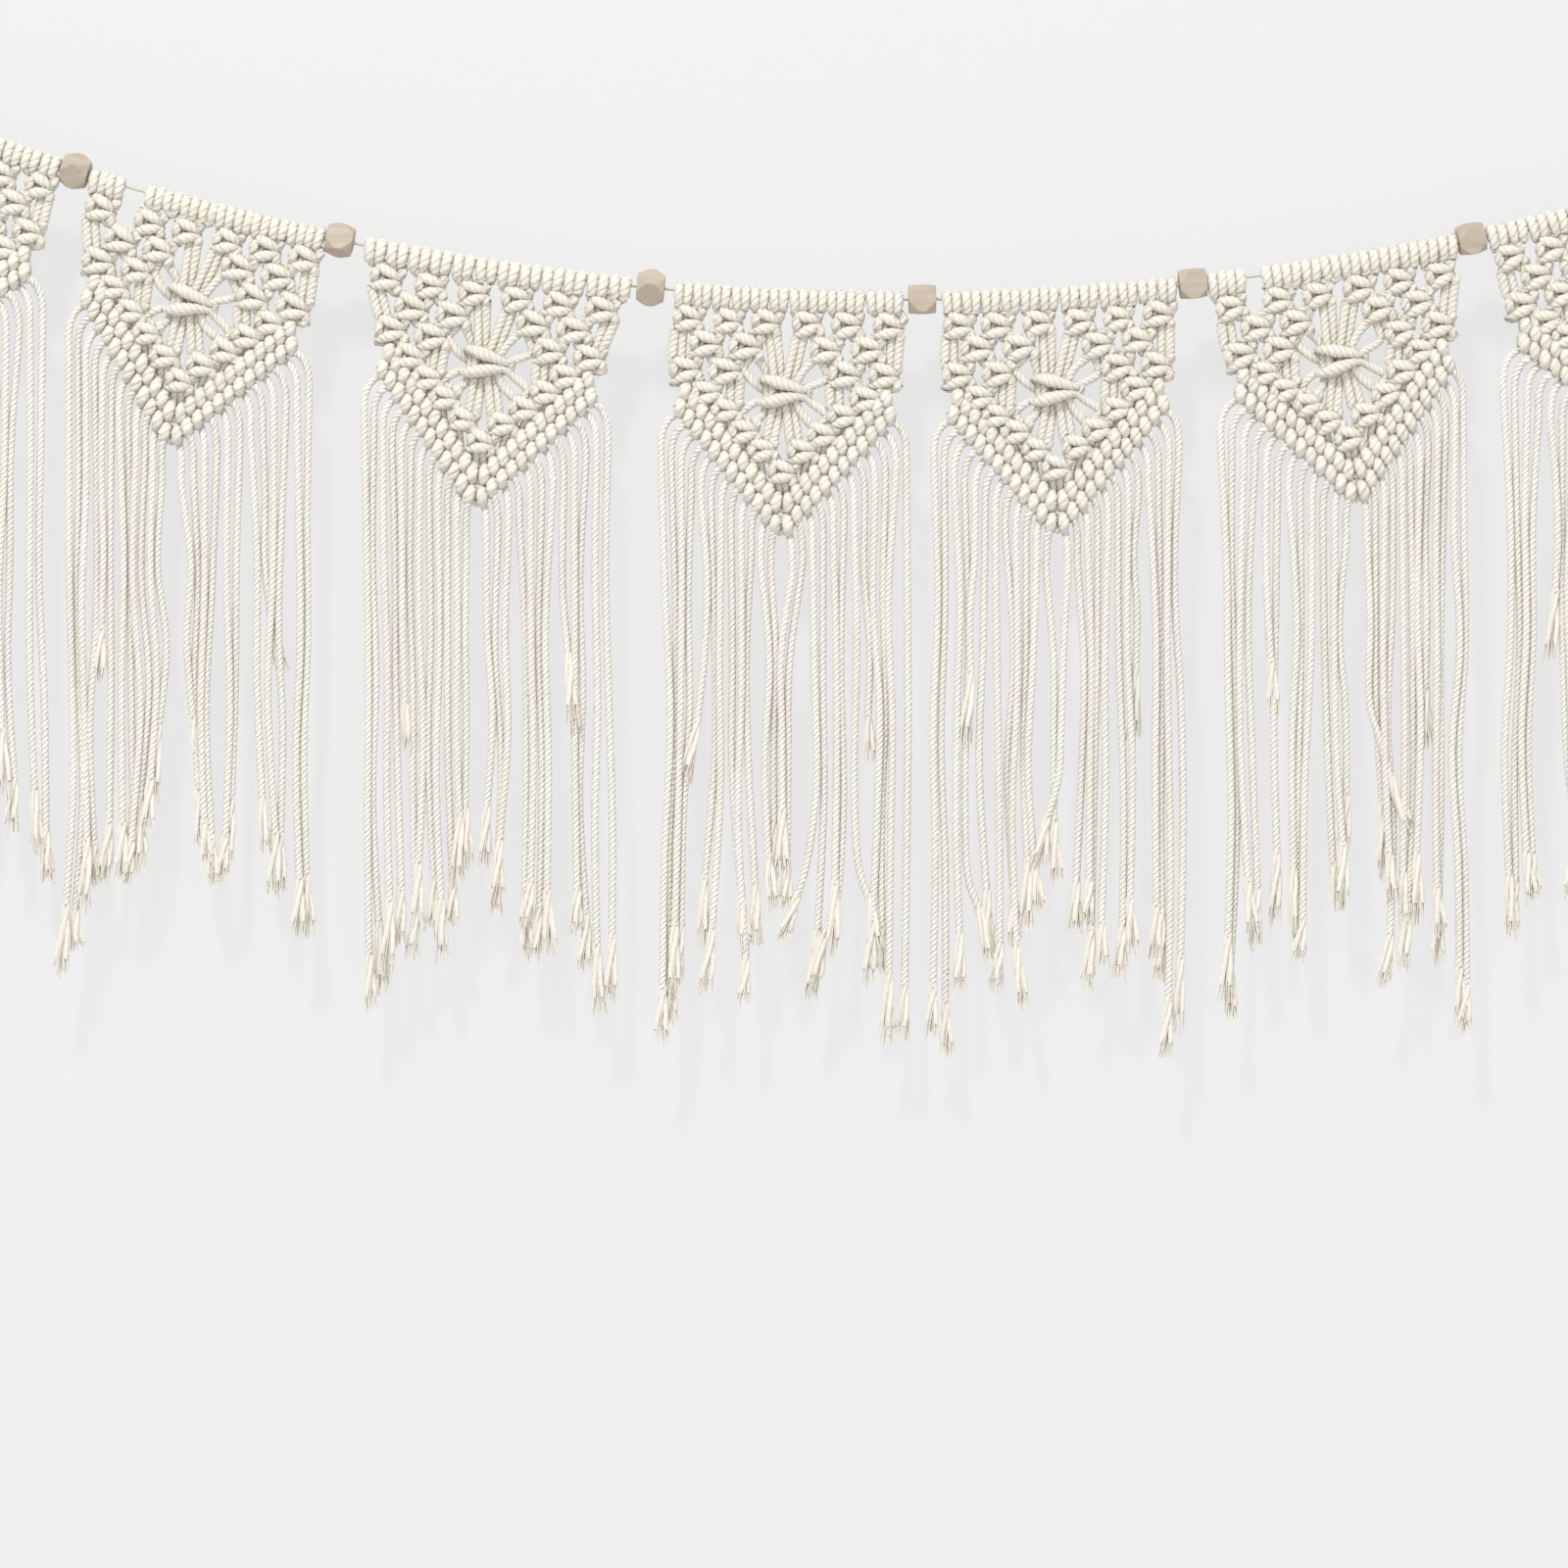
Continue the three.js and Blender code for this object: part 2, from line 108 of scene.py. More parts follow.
body = {  # the gap in the heads fades out at gapDrop, and gapLeft is its left side's share
    "cords": 24, "width": 132.0, "cordPitch": 5.8, "rowSlopeShare": 0.9,
    "gapAcross": -44.0, "gapDrop": 28.0, "gapLeft": 0.25,
    "borderAcross": 61.0, "borderDrop": 54.0, "tipDrop": 124.0, "borderPitch": 8.5,
}


class Pennant:  # turns places across and down one pennant into places in the frame

    def __init__(self, index):
        self.index = index
        self.sizes = pennants[index]
        self.angle = stringAngle(self.sizes["middle"])
        self.rowAngle = self.angle * body["rowSlopeShare"]
        self.lean = math.radians(self.sizes["lean"])
        self.turn = (self.rowAngle + self.lean) / 2

    def spread(self, drop):  # how much wider than its border the knotwork hangs at this drop
        slack = min(max(1 - drop / body["borderDrop"], 0), 1) ** 2
        return slack, mix(1, self.sizes["headWidth"] / body["width"], slack)

    def parted(self, across, drop):  # the heads pushed aside where the string shows between them
        gap = self.sizes.get("headGap", 0) * max(1 - drop / body["gapDrop"], 0)
        edge, half = body["gapAcross"], body["width"] / 2
        if across < edge:
            return across - gap * body["gapLeft"] * (1 - (edge - across) / (edge + half))
        return across + gap * (1 - body["gapLeft"]) * (1 - (across - edge) / (half - edge))

    def flat(self, across, drop):
        slack, spread = self.spread(drop)
        across = self.parted(across, drop)
        middle = self.sizes["middle"]
        headX = across * spread * math.cos(self.angle)
        headZ = rise(middle + headX) - rise(middle)
        rowX = across * spread * math.cos(self.rowAngle)
        rowZ = across * spread * math.sin(self.rowAngle)
        x = mix(rowX, headX, slack) + drop * math.sin(self.lean)
        z = mix(rowZ, headZ, slack) - drop * math.cos(self.lean)
        return Vector((x, z))

    def place(self, at, right=0.0, down=0.0, forward=0.0):  # an offset turned with the knotwork
        x = at[0] + right * math.cos(self.turn) + down * math.sin(self.turn)
        z = at[1] + right * math.sin(self.turn) - down * math.cos(self.turn)
        return self.hung(x, z, forward)

    def hung(self, x, z, forward):
        middle = self.sizes["middle"]
        return spot(middle + x, rise(middle) + z, forward)


# Camera square on, from far off

picture = {"pixels": 1600, "pixelsPerMm": 1.75, "lowestPx": 920, "lowestPy": 305.5}
cameraSizes = {"distance": 3.0, "sensor": 36.0, "clipEnd": 50.0}


def addCamera():
    middle = picture["pixels"] / 2
    x = (middle - picture["lowestPx"]) / picture["pixelsPerMm"]
    z = (picture["lowestPy"] - middle) / picture["pixelsPerMm"]
    camera = bpy.data.objects.new("photoCamera", bpy.data.cameras.new("photoCamera"))
    scene.collection.objects.link(camera)
    camera.location = spot(x, z, cameraSizes["distance"] / mm)
    camera.rotation_euler = (math.pi / 2, 0, 0)
    width = picture["pixels"] / picture["pixelsPerMm"] * mm
    camera.data.sensor_width = cameraSizes["sensor"]
    camera.data.lens = cameraSizes["sensor"] * cameraSizes["distance"] / width
    camera.data.clip_end = cameraSizes["clipEnd"]
    scene.camera = camera


addCamera()
print("camera placed")


# Shader expressions

class Sock:  # a value, colour or vector socket that takes part in sums

    def __init__(self, shader, socket):
        self.shader = shader
        self.socket = socket

    def math(self, operation, a, b=None):
        node = self.shader.node("ShaderNodeMath", {"operation": operation})
        for place, value in enumerate((a, b)):
            if value is not None:
                self.shader.feed(node.inputs[place], value)
        return Sock(self.shader, node.outputs[0])

    def __add__(self, other):
        return self.math("ADD", self, other)

    def __radd__(self, other):
        return self.math("ADD", other, self)

    def __sub__(self, other):
        return self.math("SUBTRACT", self, other)

    def __rsub__(self, other):
        return self.math("SUBTRACT", other, self)

    def __mul__(self, other):
        return self.math("MULTIPLY", self, other)

    def __rmul__(self, other):
        return self.math("MULTIPLY", other, self)

    def clamp(self):
        node = self.shader.node("ShaderNodeClamp", {}, {"Value": self})
        return Sock(self.shader, node.outputs[0])


class Shader:

    def __init__(self, name):
        self.material = bpy.data.materials.new(name)
        self.material.use_nodes = True
        self.tree = self.material.node_tree
        self.surface = self.tree.nodes["Principled BSDF"]

    def feed(self, target, value):
        if isinstance(value, Sock):
            self.tree.links.new(value.socket, target)
        else:
            target.default_value = value

    def node(self, kind, settings, sockets=None):
        made = self.tree.nodes.new(kind)
        for name, value in settings.items():
            setattr(made, name, value)
        for name, value in (sockets or {}).items():
            self.feed(made.inputs[name], value)
        return made

    def value(self, kind, settings, sockets=None, output=0):
        return Sock(self, self.node(kind, settings, sockets).outputs[output])

    def place(self):
        return self.value("ShaderNodeTexCoord", {}, output="Object")

    def attribute(self, name, output="Fac"):
        return self.value("ShaderNodeAttribute", {"attribute_name": name}, output=output)

    def stretch(self, vector, x, y, z):
        return self.value("ShaderNodeVectorMath", {"operation": "MULTIPLY"}, {0: vector, 1: (x, y, z)})

    def noise(self, vector, scale, detail=2.0, roughness=0.5):
        sockets = {"Vector": vector, "Scale": scale, "Detail": detail, "Roughness": roughness}
        return self.value("ShaderNodeTexNoise", {}, sockets, "Fac")

    def mixColour(self, share, first, second):
        node = self.node("ShaderNodeMix", {"data_type": "RGBA"})
        self.feed(node.inputs["Factor"], share)
        self.feed(node.inputs[6], first)
        self.feed(node.inputs[7], second)
        return Sock(self, node.outputs[2])

    def bump(self, height, distance, strength=1.0):
        sockets = {"Height": height, "Distance": distance, "Strength": strength}
        self.feed(self.surface.inputs["Normal"], self.value("ShaderNodeBump", {}, sockets))

    def finish(self, colour, roughness, **constants):
        self.feed(self.surface.inputs["Base Color"], colour)
        self.feed(self.surface.inputs["Roughness"], roughness)
        for name, value in constants.items():
            self.surface.inputs[name.replace("_", " ")].default_value = value
        return self.material


cottonLook = {
    "stain": (0.80, 0.73, 0.60, 1), "stainFrom": 0.85, "stainShare": 0.6,
    "cloudScale": 70.0, "cloudShare": 0.8, "cloudDetail": 3.0,
    "strandScale": 150.0, "strandShare": 1.6, "strandLength": 0.05,
    # hollow is the darker tone of the painted shade between the plies, and the fibre marks and frayed streaks
    # mix towards it too
    "hollow": (0.50, 0.46, 0.34, 1), "plies": 3.0, "seamDepth": 1.4,
    "lines": 12.0, "lineFrom": 0.0, "lineDepth": 0.35, "reliefDepth": 0.0003,
    "fibreScale": 5.0, "fibreStretch": 120.0, "fibreDetail": 3.0, "fibreRoughness": 0.6, "fibreShare": 0.10,
    "streakFrom": 0.42, "streakSharpness": 4.0, "paintedCreviceShadeReach": 0.0026, "paintedCreviceShadeSamples": 3,
    "roughness": 0.92, "sheen": 0.55, "sheenRoughness": 0.5, "specular": 0.2,
}
# The same cotton in every kind: the knotwork's crest is darker and the hanging fringe's lighter, as painted
# shade and light; the frayed ends have a darker tan crest
cottonKinds = {
    # in each kind, the crevice colour and share give the painted shade deep between cords
    "knotted": {
        "crest": (0.80, 0.77, 0.715, 1), "paintedCreviceShade": (0.42, 0.385, 0.23, 1), "paintedCreviceShadeShare": 0.70,
        "seamFrom": 0.1, "seamShadeShare": 0.20, "lineShare": 0.12,
    },
    "hanging": {
        "crest": (0.93, 0.905, 0.87, 1), "paintedCreviceShade": (0.60, 0.55, 0.44, 1), "paintedCreviceShadeShare": 0.30,
        "seamFrom": -0.2, "seamShadeShare": 0.50, "lineShare": 0.08,
    },
    "frayed": {
        "crest": (0.745, 0.715, 0.66, 1), "paintedCreviceShade": (0.50, 0.46, 0.37, 1), "paintedCreviceShadeShare": 0.34,
        "streakShare": 0.34,
    },
}


def ringAngle(shader):
    ring = shader.node("ShaderNodeSeparateXYZ", {}, {"Vector": shader.attribute("ring", "Vector")})
    across, up = Sock(shader, ring.outputs["X"]), Sock(shader, ring.outputs["Y"])
    return up.math("ARCTAN2", up, across)


def seam(angle, count, start):  # 1 in the hollow between two plies and 0 on their crests
    wave = angle.math("COSINE", angle * count)
    return ((wave - start) * (1 / (1 - start))).clamp()


def fibreNoise(shader, look):  # fine lines that run along the cord and turn with it
    run = shader.value("ShaderNodeCombineXYZ", {}, {"Z": shader.attribute("along") * look["fibreStretch"]})
    ring = shader.attribute("ring", "Vector")
    lengthwise = shader.value("ShaderNodeVectorMath", {"operation": "ADD"}, {0: ring, 1: run})
    return shader.noise(lengthwise, look["fibreScale"], look["fibreDetail"], look["fibreRoughness"])


def stainedColour(shader, look):  # the crest's colour with soft stains that run down the fringe
    place = shader.place()
    cloudy = shader.noise(place, look["cloudScale"], look["cloudDetail"])
    strands = shader.noise(shader.stretch(place, 1.0, 1.0, look["strandLength"]), look["strandScale"])
    share = ((cloudy * look["cloudShare"] + strands * look["strandShare"]) - look["stainFrom"]).clamp()
    return shader.mixColour(share * look["stainShare"], look["crest"], look["stain"])


def twistedTone(shader, look, colour, fibres):  # painted shade in the hollows between the plies, finer dark lines on them, and their relief
    angle = ringAngle(shader)
    hollow = seam(angle, look["plies"], look["seamFrom"])
    fine = seam(angle, look["lines"], look["lineFrom"])
    # painted shade in the hollows between the plies and darker fine lines, each with its bump
    shade = hollow * look["seamShadeShare"] + fine * look["lineShare"]
    shaded = shader.mixColour(shade, colour, look["hollow"])
    shader.bump(fibres - hollow * look["seamDepth"] - fine * look["lineDepth"], look["reliefDepth"])
    return shader.mixColour(fibres * look["fibreShare"], shaded, look["hollow"])


def openness(shader, look):  # 1 in the open and 0 deep between two cords, the mask of the painted shade in the crevices
    settings = {"samples": look["paintedCreviceShadeSamples"], "only_local": True}
    return shader.value("ShaderNodeAmbientOcclusion", settings, {"Distance": look["paintedCreviceShadeReach"]}, "AO")


def cottonMaterial(kind):
    look = {**cottonLook, **cottonKinds[kind]}
    shader = Shader(kind + "Cotton")
    fibres = fibreNoise(shader, look)
    tone = stainedColour(shader, look)
    if kind == "frayed":
        streaks = ((fibres - look["streakFrom"]) * look["streakSharpness"]).clamp() * look["streakShare"]
        tone = shader.mixColour(streaks, tone, look["hollow"])
    else:
        tone = twistedTone(shader, look, tone, fibres)
    # painted shade: the colour darkens towards the crevice colour deep between cords, where less light
    # reaches
    shadeMask = ((1.0 - openness(shader, look)) * look["paintedCreviceShadeShare"]).clamp()
    tone = shader.mixColour(shadeMask, tone, look["paintedCreviceShade"])
    return shader.finish(tone, look["roughness"], Specular_IOR_Level=look["specular"],
                         Sheen_Weight=look["sheen"], Sheen_Roughness=look["sheenRoughness"])


stringLook = {
    # hollow is the tone of the painted shade between the plies; the speckle mixes towards it too
    "crest": (0.66, 0.61, 0.53, 1), "hollow": (0.40, 0.355, 0.28, 1),
    "plies": 3.0, "seamFrom": 0.2, "seamShadeShare": 0.8,
    "speckleScale": 900.0, "speckleDetail": 3.0, "speckleShare": 0.3, "reliefDepth": 0.0002,
    "roughness": 0.85, "specular": 0.25,
}


def stringMaterial():
    look = stringLook
    shader = Shader("headerCord")
    speckle = shader.noise(shader.place(), look["speckleScale"], look["speckleDetail"])
    # painted shade in the hollows between the plies
    hollow = seam(ringAngle(shader), look["plies"], look["seamFrom"]) * look["seamShadeShare"]
    colour = shader.mixColour(hollow, look["crest"], look["hollow"])
    tone = shader.mixColour(speckle * look["speckleShare"], colour, look["hollow"])
    shader.bump(speckle, look["reliefDepth"])
    return shader.finish(tone, look["roughness"], Specular_IOR_Level=look["specular"])


woodLook = {
    "pale": (0.47, 0.405, 0.33, 1), "dark": (0.345, 0.28, 0.205, 1),
    "grainScale": 260.0, "grainDetail": 5.0, "grainRoughness": 0.62, "grainStretch": (0.12, 1.0, 0.8),
    "grainContrast": 2.2, "grainFrom": 0.7, "grainShare": 0.8, "grainRelief": 0.6,
    "poreScale": 1400.0, "poreStretch": (0.2, 1.0, 1.0),
    "poreContrast": 3.0, "poreFrom": 1.7, "poreShare": 0.35, "poreRelief": 0.4,
    "reliefDepth": 0.00025, "roughness": 0.55, "roughnessSpread": 0.15, "specular": 0.35,
}


def woodMaterial():
    look = woodLook
    shader = Shader("paleBeadWood")
    place = shader.place()
    bent = shader.stretch(place, *look["grainStretch"])
    grain = shader.noise(bent, look["grainScale"], look["grainDetail"], look["grainRoughness"])
    pores = shader.noise(shader.stretch(place, *look["poreStretch"]), look["poreScale"])
    grainShare = (grain * look["grainContrast"] - look["grainFrom"]).clamp() * look["grainShare"]
    poreShare = (pores * look["poreContrast"] - look["poreFrom"]).clamp() * look["poreShare"]
    colour = shader.mixColour(grainShare, look["pale"], look["dark"])
    tone = shader.mixColour(poreShare, colour, look["dark"])
    shader.bump(grain * look["grainRelief"] + pores * look["poreRelief"], look["reliefDepth"])
    roughness = look["roughness"] + grain * look["roughnessSpread"]
    return shader.finish(tone, roughness, Specular_IOR_Level=look["specular"])


cotton = {kind: cottonMaterial(kind) for kind in cottonKinds}
cordFinish = stringMaterial()
wood = woodMaterial()
print("materials ready")


# Cords: splines of given points, swept by a node tree as plies twisted round each other

class Tree:  # a geometry node tree with named inputs

    def __init__(self, name, inputs):
        self.tree = bpy.data.node_groups.new(name, "GeometryNodeTree")
        face = self.tree.interface
        face.new_socket("Geometry", in_out="INPUT", socket_type="NodeSocketGeometry")
        for title, kind in inputs.items():
            face.new_socket(title, in_out="INPUT", socket_type=kind)
        face.new_socket("Geometry", in_out="OUTPUT", socket_type="NodeSocketGeometry")
        self.given = self.tree.nodes.new("NodeGroupInput").outputs
        self.result = self.tree.nodes.new("NodeGroupOutput").inputs

    def node(self, kind, settings, sockets, output=0):
        made = self.tree.nodes.new(kind)
        for name, value in settings.items():
            setattr(made, name, value)
        for name, value in sockets.items():
            if hasattr(value, "is_output"):
                self.tree.links.new(value, made.inputs[name])
            else:
                made.inputs[name].default_value = value
        return made.outputs[output]

    def math(self, operation, first, second):
        return self.node("ShaderNodeMath", {"operation": operation}, {0: first, 1: second})

    def end(self, geometry, material):
        whole = self.node("GeometryNodeRealizeInstances", {}, {"Geometry": geometry})
        dressed = self.node("GeometryNodeSetMaterial", {}, {"Geometry": whole, "Material": material})
        self.tree.links.new(dressed, self.result["Geometry"])
        return self.tree


def store(tree, geometry, name, value, kind="FLOAT"):
    settings = {"data_type": kind, "domain": "POINT"}
    sockets = {"Geometry": geometry, "Name": name, "Value": value}
    return tree.node("GeometryNodeStoreNamedAttribute", settings, sockets)


def cordTree():
    inputs = {"Step": "NodeSocketFloat", "Lay": "NodeSocketFloat", "Plies": "NodeSocketInt",
              "Points": "NodeSocketInt", "Hollow": "NodeSocketFloat", "Material": "NodeSocketMaterial"}
    tree = Tree("twistedCord", inputs)
    given = tree.given
    # section: a ring with a hollow between each two plies
    ring = tree.node("GeometryNodeCurvePrimitiveCircle", {}, {"Resolution": given["Points"], "Radius": 1.0})
    index = tree.node("GeometryNodeInputIndex", {}, {})
    perPly = tree.math("DIVIDE", given["Points"], given["Plies"])
    inHollow = tree.math("LESS_THAN", tree.math("MODULO", index, perPly), 0.5)
    scale = tree.math("SUBTRACT", 1.0, tree.math("MULTIPLY", inHollow, given["Hollow"]))
    place = tree.node("GeometryNodeInputPosition", {}, {})
    drawn = tree.node("ShaderNodeVectorMath", {"operation": "SCALE"}, {0: place, "Scale": scale})
    section = store(tree, ring, "ring", place, "FLOAT_VECTOR")
    section = tree.node("GeometryNodeSetPosition", {}, {"Geometry": section, "Position": drawn})
    # run: a smooth line through the points, turned a little at each step
    kind = {"spline_type": "CATMULL_ROM"}
    smooth = tree.node("GeometryNodeCurveSplineType", kind, {"Curve": given["Geometry"]})
    run = tree.node("GeometryNodeResampleCurve", {"mode": "LENGTH"}, {"Curve": smooth, 3: given["Step"]})
    length = tree.node("GeometryNodeSplineParameter", {}, {}, "Length")
    turn = tree.math("MULTIPLY", tree.math("DIVIDE", length, given["Lay"]), 2 * math.pi)
    run = tree.node("GeometryNodeSetCurveTilt", {}, {"Curve": run, "Tilt": turn})
    run = store(tree, run, "along", length)
    radius = tree.node("GeometryNodeInputRadius", {}, {})
    sockets = {"Curve": run, "Profile Curve": section, "Scale": radius, "Fill Caps": True}
    swept = tree.node("GeometryNodeCurveToMesh", {}, sockets)
    rounded = tree.node("GeometryNodeSetShadeSmooth", {}, {"Geometry": swept})
    return tree.end(rounded, given["Material"])


cordNodes = cordTree()


def splineObject(name, paths):  # each path is a list of (place in metres, radius in mm)
    curve = bpy.data.curves.new(name, "CURVE")
    curve.dimensions = "3D"
    for path in paths:
        spline = curve.splines.new("POLY")
        spline.points.add(len(path) - 1)
        for point, (place, radius) in zip(spline.points, path):
            point.co = (*place, 1)
            point.radius = radius * mm
    made = bpy.data.objects.new(name, curve)
    scene.collection.objects.link(made)
    return made


def nodesResult(source, group, name, values):  # the tree's result as a plain mesh object at the origin
    modifier = source.modifiers.new(group.name, "NODES")
    modifier.node_group = group
    for item in group.interface.items_tree:
        if item.item_type == "SOCKET" and item.in_out == "INPUT" and item.name in values:
            modifier[item.identifier] = values[item.name]
    view = bpy.context.evaluated_depsgraph_get()
    mesh = bpy.data.meshes.new_from_object(source.evaluated_get(view), depsgraph=view)
    mesh.name = name
    data = source.data
    bpy.data.objects.remove(source)
    bpy.data.curves.remove(data)
    made = bpy.data.objects.new(name, mesh)
    scene.collection.objects.link(made)
    return made


def cordPiece(name, paths, sizes, material):
    values = {"Step": sizes["step"] * mm, "Lay": sizes["lay"] * mm, "Plies": sizes["plies"],
              "Points": sizes["points"], "Hollow": sizes["hollow"], "Material": material}
    return nodesResult(splineObject(name + "Lines", paths), cordNodes, name, values)


# Knots: each table lists right, down and forward from the knot's middle, and the cord's radius

squareKnot = {
    "fillerAcross": 2.2, "fillerHalf": 5.0, "fillerRadius": 2.9,
    "frontTyer": [
        (-6.6, -6.6, 0.2, 3.2), (-5.0, -5.3, 1.8, 3.0), (-2.0, -4.2, 3.8, 3.4), (1.3, -3.0, 4.2, 3.4),
        (4.2, -1.9, 2.6, 2.8), (5.8, -1.0, 0.2, 2.7), (6.4, 0.3, -0.6, 2.7), (5.8, 1.4, 0.2, 2.7),
        (4.2, 2.2, 2.6, 2.8), (1.3, 3.3, 4.2, 3.4), (-2.0, 4.4, 3.8, 3.4), (-5.0, 5.4, 1.8, 3.0),
        (-6.6, 6.6, 0.2, 3.2),
    ],
    "rearTyer": [
        (6.6, -6.4, 0.8, 3.2), (6.9, -4.2, 2.6, 3.2), (5.6, -1.6, -1.0, 2.4), (2.0, -2.0, -4.0, 2.3),
        (-2.0, -3.2, -4.0, 2.3), (-4.2, -3.4, -1.0, 2.4), (-5.8, -2.4, 2.6, 2.9), (-6.4, 0.0, 3.6, 3.2),
        (-5.8, 2.4, 2.6, 2.9), (-4.2, 3.7, -1.0, 2.4), (-2.0, 4.0, -4.0, 2.3), (2.0, 3.0, -4.0, 2.3),
        (5.6, 2.0, -1.0, 2.4), (6.9, 4.4, 2.6, 3.2), (6.6, 6.4, 0.8, 3.2),
    ],
}

foldedHead = [  # one side of a head, from the bight behind the string
    (0.0, 4.4, -5.2, 2.2), (2.4, 3.4, -5.0, 2.3), (2.7, 0.0, -3.9, 2.5), (2.7, -2.2, -2.2, 2.7),
    (2.7, -2.8, 0.2, 2.9), (2.7, -1.4, 2.7, 3.0), (2.65, 1.6, 3.7, 3.1), (2.4, 4.8, 3.2, 3.0),
    (2.2, 7.6, 1.6, 3.0),
]

gatherKnot = {
    "firstFiller": 9, "lastFiller": 14, "drop": 55.5,
    "fillerPitch": 3.3, "fillerDepth": 1.4, "fillerHalf": 4.0, "fillerShift": -2.5, "fillerRadius": 2.6,
    "entryPitch": 4.3, "entryDepthShare": 0.6, "entryHalf": 12.0, "entryShift": -1.25,
    "rightTyer": [
        (24.0, -9.5, 0.0, 2.7), (14.0, -3.4, 2.4, 2.5), (9.5, -1.4, 4.2, 2.5), (4.0, -2.8, 6.0, 3.3),
        (-4.0, -4.9, 6.4, 4.1), (-10.2, -6.6, 4.4, 3.2), (-13.8, -6.8, 1.0, 2.2), (-12.6, -3.6, -2.6, 2.1),
        (-11.5, 2.5, -3.2, 2.1), (-15.2, 6.0, -0.2, 2.1), (-13.0, 6.9, 3.2, 2.8), (-7.6, 5.9, 6.0, 4.1),
        (0.0, 4.0, 6.2, 3.7), (6.2, 2.6, 4.8, 2.8), (10.8, 2.9, 2.4, 2.4), (15.5, 6.2, 0.6, 2.6),
        (24.0, 12.5, 0.0, 2.7),
    ],
    "leftTyer": [
        (-25.0, -13.0, 0.0, 2.7), (-19.0, -5.0, 0.6, 2.7), (-12.0, -0.6, -3.4, 2.4), (-3.0, 0.0, -5.4, 2.3),
        (7.0, -1.4, -4.6, 2.3), (12.0, -3.4, -0.8, 2.2), (13.6, -0.8, 3.0, 2.4), (12.4, 2.6, 0.6, 2.3),
        (6.0, 3.6, -4.4, 2.3), (-3.0, 4.0, -5.4, 2.3), (-12.0, 4.6, -3.6, 2.4), (-19.0, 7.4, 0.2, 2.7),
        (-25.0, 13.0, 0.0, 2.8),
    ],
}

halfHitch = {  # up over the front of the holding cord and down behind it
    "tilt": 6.0,
    "run": [
        (0.9, -4.8, -2.8, 2.4), (1.0, 1.2, -4.2, 2.2), (0.6, 4.1, -1.4, 2.9), (0.1, 3.0, 2.0, 3.5),
        (0.0, 0.0, 3.6, 3.85), (-0.1, -3.0, 1.8, 3.5), (-0.4, -4.1, -1.4, 2.9), (-1.1, -1.6, -4.3, 2.2),
        (-1.0, 2.6, -3.8, 2.3),
    ],
}

holder = {"radius": 3.0, "forward": -0.6, "stations": [0.06, 0.3, 0.65, 0.96]}  # shares of the way to the tip

hitchSpacing = {  # room before the first hitch and after the last one, in steps of the row
    "upper": {"before": 0.5, "after": 0.7}, "lower": {"before": 1.2, "after": 0.7},
}

knotRows = [  # drop, width and height shares and the first cords of the knots left of the middle
    {"drop": 16.0, "wide": 1.03, "tall": 1.04, "firstCords": [0, 4, 8]},
    {"drop": 30.0, "wide": 1.16, "tall": 1.06, "firstCords": [2, 6]},
    {"drop": 44.4, "wide": 1.16, "tall": 1.06, "firstCords": [0, 4]},
    {"drop": 57.4, "wide": 1.14, "tall": 0.94, "firstCords": [2]},
    {"drop": 68.4, "wide": 1.10, "tall": 0.90, "firstCords": [4]},
    {"drop": 79.5, "wide": 1.06, "tall": 0.90, "firstCords": [6]},
    {"drop": 90.0, "wide": 1.06, "tall": 0.90, "firstCords": [8]},
    {"drop": 101.7, "wide": 1.05, "tall": 0.94, "firstCords": [10]},
]

loose = {  # how far one knot may differ from the next
    "knotShift": 0.8, "knotTurn": 8.0, "knotSize": 0.05,
    "headTurn": 4.0, "headShift": 0.3, "hitchSize": 0.05, "hitchTurn": 6.0,
}


def knotsOf(cord):  # rows that a cord is tied in, with its place of 0 to 3 in each knot
    found = []
    for row in knotRows:
        mirrored = [body["cords"] - 4 - first for first in row["firstCords"]]
        for first in sorted({*row["firstCords"], *mirrored}):
            if first <= cord < first + 4:
                found.append((row, first, cord - first))
    return found


def knotCords(place):
    if place == 0:
        return squareKnot["frontTyer"]
    if place == 3:
        return squareKnot["rearTyer"]
    across = squareKnot["fillerAcross"] * (1 if place == 2 else -1)
    half, radius = squareKnot["fillerHalf"], squareKnot["fillerRadius"]
    return [(across, -half, 0.0, radius), (across, half, 0.0, radius)]


def squareKnotPath(pennant, row, first, place):
    shake = random.Random(f"{pennant.index} {row['drop']} {first}")
    across = (first + 2 - body["cords"] / 2) * body["cordPitch"]
    at = pennant.flat(across, row["drop"])
    at = at + Vector((shake.uniform(-1, 1), shake.uniform(-1, 1))) * loose["knotShift"]
    turn = math.radians(shake.uniform(-1, 1) * loose["knotTurn"])
    size = 1 + shake.uniform(-1, 1) * loose["knotSize"]
    wide, tall = row["wide"] * pennant.spread(row["drop"])[1], row["tall"]
    path = []
    for right, down, forward, radius in knotCords(place):
        right, down = right * wide, down * tall
        x = (right * math.cos(turn) - down * math.sin(turn)) * size
        y = (right * math.sin(turn) + down * math.cos(turn)) * size
        path.append((pennant.place(at, x, y, forward), radius))
    return path


def headPath(pennant, pair, side):
    shake = random.Random(f"head {pennant.index} {pair}")
    across = ((pair + 0.5) * 2 / body["cords"] - 0.5) * body["width"]
    head = pennant.flat(across + shake.uniform(-1, 1) * loose["headShift"], 0)
    turn = math.radians(shake.uniform(-1, 1) * loose["headTurn"])
    wide = pennant.spread(0)[1]
    return [(pennant.place(head, right * side * wide - down * math.sin(turn), down, forward), radius * wide)
            for right, down, forward, radius in foldedHead]


